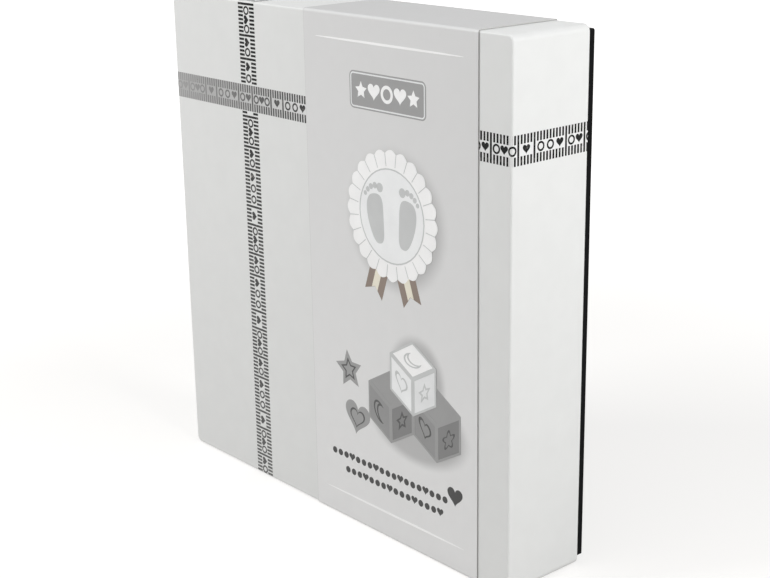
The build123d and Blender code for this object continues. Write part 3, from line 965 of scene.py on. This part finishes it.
def painted_reflection_along(tree, axis, low, high, tones):
    """A painted reflection: a grey that shifts between tones from one place to another along an axis."""
    value = axes_of(tree, place_on(tree))[axis]
    share = add(tree, "MapRange", Value=value, From_Min=low, From_Max=high)
    ramp = add(tree, "ValToRGB", Fac=share.outputs[0])
    stops = ramp.color_ramp.elements
    for _ in tones[2:]:
        stops.new(0.5)
    for stop, (position, tone) in zip(stops, tones):
        stop.position = position
        stop.color = (tone, tone, tone, 1)
    return ramp.outputs[0]


def foil(name, axis, low, high, tones):
    """Stamped foil, rubbed dull in specks, whose grey is painted to shift along the ribbon between two
    places as a painted reflection.
    """
    material, tree, shader = new_material(name)
    rub = noise(tree, place_on(tree), foil_rub_scale, 4.0)
    tone = painted_reflection_along(tree, axis, low, high, tones)
    fill(tree, shader, Base_Color=mix(tree, ease(tree, rub, *foil_contrast), tone, foil_worn),
         Metallic=foil_metal, Roughness=scaled(tree, rub, *foil_rough))
    return material


def painted_reflection_wash(low, high):
    """A grey wash under the foil, a painted reflection of its sheen, deep at the lid's left edge and gone
    before its right one.
    """
    material, tree, shader = new_material("painted_reflection_wash")
    fibre = use_group(tree, paper_fibre)
    fill(tree, shader, Base_Color=painted_reflection_along(tree, 0, low, high, wash_painted_reflection), Normal=fibre["Normal"],
         Roughness=scaled(tree, fibre["Tone"], *reflection_wash_rough))
    return material


lid_low, lid_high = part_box("lid_shell")
lid_middle, lid_half = box_of("lid_shell")
across_z = lid_low.z + (lid_high.z - lid_low.z) * ribbon_height_share
down_x = lid_low.x + (lid_high.x - lid_low.x) * ribbon_across_share

across = foil_ribbon(lid_half[0], lid_low.y, lid_high.y)
across.data.transform(Matrix.Translation((0, 0, across_z)))
across_foil = foil("ribbon_foil_across", 0, lid_low.x, lid_high.x, across_painted_reflection)
as_one("ribbon_across", [across], across_foil, "lid")

# grey wash of painted reflection under the across ribbon
path, length = wrap_path(lid_half[0], lid_low.y, lid_high.y, lid_edge)
reflection_wash = ribbon_strip(length, ribbon_width)
reflection_wash.data.transform(Matrix.Scale(reflection_wash_film / ink_film, 4, (0, 1, 0)))
wrap(reflection_wash, path)
reflection_wash.data.transform(Matrix.Translation((0, 0, across_z)))
as_one("painted_reflection_wash", [reflection_wash], painted_reflection_wash(lid_low.x, lid_high.x), "lid")

crossing = lid_high.y - lid_low.y + across_z - lid_low.z - lid_edge * bend_slack
gap = ribbon_width * gap_share
down = foil_ribbon(lid_half[2], lid_low.y, lid_high.y, (crossing - gap, crossing + gap))
down.data.transform(Matrix.Translation((down_x, 0, lid_middle[2])) @ Matrix.Rotation(-math.pi / 2, 4, "Y"))
down_foil = foil("ribbon_foil_down", 2, lid_low.z, lid_high.z, down_painted_reflection)
as_one("ribbon_down", [down], down_foil, "lid")


# Sleeve
# A band of coated card, printed all over in light grey, with white and grey prints, folded sharply at the
# lid's edges. Its grey carries painted light and shade: lighter towards the foot, and darker on the faces
# past the front fold. Its cut ends show the card's grey core, darkened further as a painted shade line.

sleeve_grey = (0.69, 0.69, 0.69, 1)
# painted light: the foot is painted lighter, where the lamps give less light
sleeve_foot_painted_light = (0.77, 0.77, 0.77, 1)
# painted shade on the faces past the front fold; also the colour of the random flecks
top_shade_and_fleck_grey = (0.52, 0.52, 0.52, 1)
# the card's grey core at the cut ends, darkened as a painted shade line where the card stands off the lid
core_and_edge_shade, core_shade_reach = (0.45, 0.45, 0.44, 1), 0.15 * mm
sleeve_fibre, sleeve_depth, sleeve_shine = 0.25 * mm, 0.004 * mm, 0.35
sleeve_rough, fleck_contrast, fleck_share = (0.08, 0.36), (0.3, 0.7), 0.06
fold_near, fold_far = 0.3 * mm, 2.0 * mm
shadow_tone, shadow_fade = 0.70, (0.80, 1.14)
sleeve_low, sleeve_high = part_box("sleeve_band")
sleeve_middle, sleeve_half = (sizes[0] for sizes in box_of("sleeve_band"))

rosette_x, rosette_z, rosette_radius = 57.5 * mm, 194.5 * mm, 37.0 * mm
block_edge, blocks_x, blocks_foot = 22.0 * mm, 73.5 * mm, 61.0 * mm
shadow_x, shadow_drop = 3.0 * mm, 2.5 * mm
printed_shadows = [
    (rosette_x + shadow_x, rosette_z - shadow_drop, rosette_radius * 1.03, rosette_radius * 1.03),
    (blocks_x + shadow_x, blocks_foot + block_edge * 0.75, block_edge * 1.78, block_edge),
    (blocks_x + shadow_x, blocks_foot + block_edge * 2.0, block_edge * 1.0, block_edge * 1.1),
]


def printed_card():
    """Light grey ink on coated card, painted lighter towards the foot and darker past the front fold as
    painted light and shade, with soft printed shadows round its pictures and a grey core at its ends,
    darkened as painted shade.
    """
    material, tree, shader = new_material("printed_card")
    fibre = use_group(tree, paper_fibre, Fibre_size=sleeve_fibre, Depth=sleeve_depth)
    x, y, z = axes_of(tree, place_on(tree))
    # painted light: the grey is lighter towards the foot
    body = mix(tree, ease(tree, z, sleeve_low.z, sleeve_high.z), sleeve_foot_painted_light, sleeve_grey)
    # painted shade: darker on the faces past the front fold
    body = mix(tree, ease(tree, y, sleeve_low.y + fold_near, sleeve_low.y + fold_far), body, top_shade_and_fleck_grey)
    for middle_x, middle_z, half_width, half_height in printed_shadows:
        off_x, off_z = share_of(tree, x, middle_x, half_width), share_of(tree, z, middle_z, half_height)
        shade = rest_of(tree, ease(tree, distance(tree, off_x, off_z), *shadow_fade))
        body = mix(tree, shade, body, shaded(sleeve_grey, shadow_tone))
    fleck = calculate(tree, "MULTIPLY", ease(tree, fibre["Tone"], *fleck_contrast), fleck_share)
    body = mix(tree, fleck, body, top_shade_and_fleck_grey)
    # grey core at the cut ends, and a painted shade line a fraction of a millimetre inside them
    off = calculate(tree, "ABSOLUTE", calculate(tree, "SUBTRACT", x, sleeve_middle))
    cut = ease(tree, off, sleeve_half - core_shade_reach, sleeve_half - core_shade_reach / 2)
    fill(tree, shader, Base_Color=mix(tree, cut, body, core_and_edge_shade), Specular_IOR_Level=sleeve_shine,
         Roughness=scaled(tree, fibre["Tone"], *sleeve_rough), Normal=fibre["Normal"])
    return material


dress(printed_card(), "sleeve_band")

inks = {name: ink(f"{name}_ink", (*colour, 1)) for name, colour in {
    "white": (0.90, 0.90, 0.90),
    "soft_white": (0.84, 0.85, 0.855),
    "pale": (0.76, 0.77, 0.775),
    "silver": (0.54, 0.55, 0.55),
    "badge": (0.31, 0.31, 0.31),
    "mid_grey": (0.265, 0.265, 0.265),
    "dark_grey": (0.20, 0.20, 0.20),
    "line": (0.075, 0.075, 0.075),
    "black": (0.035, 0.035, 0.035),
    "taupe": (0.235, 0.185, 0.155),
    "cream": (0.78, 0.74, 0.62),
}.items()}


def on_sleeve(shape, x, z, layer=0, turn=0.0):
    """A print at a place on the sleeve's face, on top of so many films of ink."""
    return put(shape, x, sleeve_low.y - layer * ink_film, z, turn)


def moved(shape, x, y):
    """A flat shape moved in its own plane."""
    shape.data.transform(Matrix.Translation((x, y, 0)))
    return shape


def print_on(name, pieces, colour):
    """Joins prints of one ink into one piece that rides on the sleeve."""
    return as_one(name, pieces, inks[colour], "sleeve")


def panel_shape(width, height, radius=0, line=0):
    """A rectangle of ink, rounded if it has a radius, or only its rim."""
    bpy.ops.object.select_all(action="DESELECT")
    bpy.ops.mesh.primitive_plane_add(size=1)
    bpy.ops.object.mode_set(mode="EDIT")
    bpy.ops.transform.resize(value=(width, height, 1))
    if radius:
        bpy.ops.mesh.bevel(affect="VERTICES", offset=radius, segments=8)
    bpy.ops.mesh.select_all(action="SELECT")
    if line:
        outline_only(line)
    return lift_ink(bpy.context.object)


def tapered_rule(length, thickness):
    """A line that runs out to a point at both ends."""
    return drawn_shape(60, lambda a: (length / 2 * math.cos(a), thickness / 2 * math.sin(a)))


rule_length, rule_thickness = 119 * mm, 1.3 * mm
rule_heights = (16.0 * mm, 286.8 * mm)
rules = [on_sleeve(tapered_rule(rule_length, rule_thickness), sleeve_middle, z) for z in rule_heights]
print_on("sleeve_rules", rules, "white")

badge_place = (55.2 * mm, 260.8 * mm)
badge_width, badge_height, badge_corner = 61.6 * mm, 20.6 * mm, 3.2 * mm
badge_line, badge_step = 0.8 * mm, 10.6 * mm
badge_shapes = [star_shape, heart_shape, disc_shape, heart_shape, star_shape]
badge_figure_reach, badge_ring_line = 4.9 * mm, 1.9 * mm
badge = panel_shape(badge_width, badge_height, badge_corner)
print_on("badge_ground", [on_sleeve(badge, *badge_place)], "badge")
keyline = panel_shape(
    badge_width - 2 * badge_line, badge_height - 2 * badge_line, badge_corner - badge_line, badge_line)
print_on("badge_keyline", [on_sleeve(keyline, *badge_place, 1)], "pale")
figures = []
for step, shape in enumerate(badge_shapes, -2):
    figure = shape(badge_figure_reach, badge_ring_line if shape is disc_shape else 0)
    figures.append(on_sleeve(figure, badge_place[0] + step * badge_step, badge_place[1], 1))
print_on("badge_figures", figures, "white")


def scalloped_shape(radius, scallops, depth):
    """A round shape whose rim is a row of small arcs."""
    return drawn_shape(scallops * 8, polar(lambda a: radius - depth * (1 - abs(math.cos(scallops * a / 2)))))


def tail_shape(width, length, notch):
    """A ribbon's tail that hangs from the origin, its end cut to a swallowtail."""
    bpy.ops.object.select_all(action="DESELECT")
    bpy.ops.mesh.primitive_circle_add(vertices=5, fill_type="NGON")
    piece = bpy.context.object
    side = width / 2
    corners = [(-side, 0), (-side, -length), (0, notch - length), (side, -length), (side, 0)]
    for corner, (x, y) in zip(piece.data.vertices, corners):
        corner.co.x, corner.co.y = x, y
    bpy.ops.object.mode_set(mode="EDIT")
    return lift_ink(piece)


sole_half, sole_widens, sole_arch, sole_square = 0.27, 0.06, 0.075, -0.25
toe_shares = [(0.19, 0.615, 0.094), (0.05, 0.66, 0.065), (-0.07, 0.64, 0.060), (-0.175, 0.585, 0.055),
              (-0.265, 0.51, 0.048)]


def sole_shape(size, inner):
    """A baby's sole: a wide ball, a narrower heel, and an arch that draws in on its inner side."""
    def corner(angle):
        side, up = math.cos(angle), math.sin(angle)
        arch = sole_arch * (1 - up * up) if side * inner > 0 else 0
        half_width = sole_half + sole_widens * up
        across = side * abs(side) ** sole_square * half_width - inner * arch * abs(side)
        return size * across, size * 0.5 * up

    return drawn_shape(48, corner)


def footprint(size, inner, x, z, turn):
    """A bare foot's print on the rosette."""
    shapes = [sole_shape(size, inner)]
    for across, up, radius in toe_shares:
        shapes.append(moved(disc_shape(size * radius), inner * size * across, size * up))
    return [on_sleeve(shape, x, z, 3, turn) for shape in shapes]


rosette_place = (rosette_x, rosette_z)
scallop_count, scallop_depth = 24, 2.2 * mm
pleat_line, pleat_inner_share = 0.45 * mm, 0.75
plate_radius, plate_keyline, plate_layer = rosette_radius * 0.70, 0.8 * mm, 2.5
tail_width, tail_length, tail_notch, tail_turn = 15.0 * mm, 50.0 * mm, 5.0 * mm, 19
stripe_width, stripe_length = 5.0 * mm, 46.5 * mm
foot_size, foot_spread, foot_drop, foot_turn = 28.0 * mm, 11.8 * mm, 3.0 * mm, 9

tails, stripes = [], []
for side in (-1, 1):
    tail = tail_shape(tail_width, tail_length, tail_notch)
    tails.append(on_sleeve(tail, *rosette_place, 0, side * tail_turn))
    stripe = tail_shape(stripe_width, stripe_length, tail_notch * stripe_width / tail_width)
    stripes.append(on_sleeve(stripe, *rosette_place, 1, side * tail_turn))
print_on("rosette_tails", tails, "taupe")
print_on("rosette_stripes", stripes, "cream")
frill = scalloped_shape(rosette_radius, scallop_count, scallop_depth)
print_on("rosette_frill", [on_sleeve(frill, *rosette_place, 2)], "white")
pleat_outer, pleat_inner = rosette_radius - scallop_depth, rosette_radius * pleat_inner_share
pleats = []
for i in range(scallop_count):
    pleat = panel_shape(pleat_outer - pleat_inner, pleat_line)
    moved(pleat, (pleat_outer + pleat_inner) / 2, 0)
    pleats.append(on_sleeve(pleat, *rosette_place, 3, (i + 0.5) * 360 / scallop_count))
pleats.append(on_sleeve(disc_shape(plate_radius + plate_keyline, plate_keyline), *rosette_place, 3))
print_on("rosette_pleats", pleats, "silver")
print_on("rosette_plate", [on_sleeve(disc_shape(plate_radius), *rosette_place, plate_layer)], "soft_white")
feet = []
for side in (-1, 1):
    foot_x, foot_z = rosette_x + side * foot_spread, rosette_z - foot_drop
    feet += footprint(foot_size, -side, foot_x, foot_z, -side * foot_turn)
print_on("rosette_footprints", feet, "silver")

block_rise, block_run = math.sin(math.radians(30)), math.cos(math.radians(30))
face_plans = {
    "left": ((block_run, -block_rise), (0, 1), (-block_run / 2, block_rise / 2 + 0.5)),
    "right": ((block_run, block_rise), (0, 1), (block_run / 2, block_rise / 2 + 0.5)),
    "top": ((block_run, block_rise), (-block_run, block_rise), (0, 1 + block_rise)),
}
block_rim, block_figure, block_line = block_edge * 0.07, block_edge * 0.27, 1.1 * mm


def on_block(shape, face, foot, layer):
    """A flat shape laid on one face of a nursery block that stands on its near foot."""
    across, up, middle = face_plans[face]
    rows = [(across[i], up[i], 0, middle[i] * block_edge) for i in range(2)]
    shape.data.transform(Matrix((*rows, (0, 0, 1, 0), (0, 0, 0, 1))))
    return on_sleeve(shape, *foot, layer)


def blocks(name, feet, tones, rim_ink, figure_ink, figures, layer):
    """Blocks of one colour: three faces in three tones, each with a rim and a figure."""
    for face, tone in tones.items():
        grounds = [on_block(panel_shape(block_edge, block_edge), face, foot, layer) for foot in feet]
        print_on(f"{name}_{face}", grounds, tone)
    rims = [on_block(panel_shape(block_edge, block_edge, 0, block_rim), face, foot, layer + 1)
            for foot in feet for face in tones]
    print_on(f"{name}_rims", rims, rim_ink)
    drawn = [on_block(shape(block_figure, block_line), face, foot, layer + 1)
             for foot, row in zip(feet, figures) for face, shape in zip(tones, row)]
    print_on(f"{name}_figures", drawn, figure_ink)


lower_feet = [(blocks_x + side * block_run * block_edge, blocks_foot) for side in (-1, 1)]
upper_feet = [(blocks_x, blocks_foot + block_edge)]
grey_tones = {"left": "mid_grey", "right": "dark_grey", "top": "badge"}
white_tones = {"left": "soft_white", "right": "pale", "top": "white"}
grey_figures = [(moon_shape, star_shape), (heart_shape, flower_shape)]
white_figures = [(heart_shape, star_shape, moon_shape)]
blocks("grey_blocks", lower_feet, grey_tones, "badge", "line", grey_figures, 0)
blocks("white_block", upper_feet, white_tones, "silver", "silver", white_figures, 2)

small_prints = [
    (star_shape, 12.0 * mm, 7.2 * mm, (18.0 * mm, 96.0 * mm), 8),
    (heart_shape, 11.04 * mm, 6.6 * mm, (24.5 * mm, 67.0 * mm), -8),
]
small_line = 0.88 * mm
grounds, lines = [], []
for shape, outer, inner, place, turn in small_prints:
    grounds.append(on_sleeve(shape(outer), *place, 0, turn))
    lines.append(on_sleeve(shape(inner, small_line), *place, 1, turn))
print_on("small_grounds", grounds, "badge")
print_on("small_lines", lines, "line")

bead_reach, bead_step, bead_heart_share = 2.0 * mm, 5.3 * mm, 1.3
bead_rows = [(3.0 * mm, 99.0 * mm, 41.0 * mm), (15.0 * mm, 95.0 * mm, 32.0 * mm)]
bead_repeat = [disc_shape, disc_shape, disc_shape, heart_shape]
row_heart_reach, row_heart_place = 6.0 * mm, (107.0 * mm, 45.0 * mm)
beads = []
for start, end, z in bead_rows:
    count = round((end - start) / bead_step)
    for i in range(count + 1):
        shape = bead_repeat[i % len(bead_repeat)]
        bead = shape(bead_reach * (bead_heart_share if shape is heart_shape else 1))
        beads.append(on_sleeve(bead, start + (end - start) * i / count, z))
beads.append(on_sleeve(heart_shape(row_heart_reach), *row_heart_place))
print_on("bead_rows", beads, "black")


# Studio
# A pale floor and soft light: a lamp before the box and to its left, a second one on the box's right, and a
# room that is dimmer overhead. The camera stands to the right, a little above the box, and looks down.

floor_colour, floor_shade = (0.43, 0.42, 0.405, 1), 0.985
floor_rough, floor_cloud_scale, floor_reach = 0.9, 3.0, 8
floor_glow_near, floor_glow_far = 0.63, 1.0
floor_near, floor_far = 0.3, 1.0
room_level, room_fall = 0.59, 0.6
camera_place = (0.652099, -0.548025, 0.397307)
camera_turn = (72.8105, 0.9039, 49.0422)
camera_lens, camera_near = 70.1, 0.01
lamp_aim = Vector((0, 0, 0.15))
lamps = {"front_lamp": ((-0.95, -1.35, 1.35), 0.9, 27.0), "side_lamp": ((0.95, 0.1, 0.6), 0.6, 7.0)}


def seen_rays(tree):
    """1 for rays that the camera, a gloss or a pane sends out, and 0 for the rest."""
    rays = add(tree, "LightPath").outputs
    seen = calculate(tree, "MAXIMUM", rays["Is Camera Ray"], rays["Is Glossy Ray"])
    return calculate(tree, "MAXIMUM", seen, rays["Is Transmission Ray"])


def pale_floor():
    """Matt floor that glows to the camera, more so far off, so that it meets the white room."""
    material, tree, shader = new_material("pale_floor")
    place = place_on(tree)
    cloud = noise(tree, place, floor_cloud_scale, 2.0)
    away = fill(tree, add(tree, "VectorMath", {"operation": "LENGTH"}), Vector=place).outputs["Value"]
    far = ease(tree, away, floor_near, floor_far)
    glow = scaled(tree, far, floor_glow_far - floor_glow_near, floor_glow_near)
    fill(tree, shader, Base_Color=mix(tree, cloud, shaded(floor_colour, floor_shade), floor_colour),
         Roughness=floor_rough, Specular_IOR_Level=0.0, Emission_Color=(1, 1, 1, 1),
         Emission_Strength=calculate(tree, "MULTIPLY", seen_rays(tree), glow))
    return material


bpy.ops.object.select_all(action="DESELECT")
bpy.ops.mesh.primitive_circle_add(vertices=64, radius=floor_reach, fill_type="NGON")
floor = bpy.context.object
floor.name = "floor"
floor.data.materials.append(pale_floor())

room = bpy.data.worlds.new("room")
room.use_nodes = True
bpy.context.scene.world = room
sky = room.node_tree
overhead = axes_of(sky, add(sky, "TexCoord").outputs["Generated"])[2]
dimming = scaled(sky, calculate(sky, "MAXIMUM", overhead, 0.0), -room_fall, 1.0)
lit = calculate(sky, "MULTIPLY", dimming, room_level)
fill(sky, sky.nodes["Background"], Color=(1, 1, 1, 1),
     Strength=calculate(sky, "MAXIMUM", seen_rays(sky), lit))

for name, (place, size, power) in lamps.items():
    light = bpy.data.lights.new(name, "AREA")
    light.size = size
    light.energy = power
    lamp = new_object(name, light)
    lamp.location = place
    lamp.rotation_euler = (lamp_aim - Vector(place)).to_track_quat("-Z", "Y").to_euler()

camera = new_object("camera", bpy.data.cameras.new("camera"))
camera.location = camera_place
camera.rotation_euler = [math.radians(angle) for angle in camera_turn]
camera.data.lens = camera_lens
camera.data.clip_start = camera_near
bpy.context.scene.camera = camera
bpy.context.scene.view_settings.view_transform = "Standard"
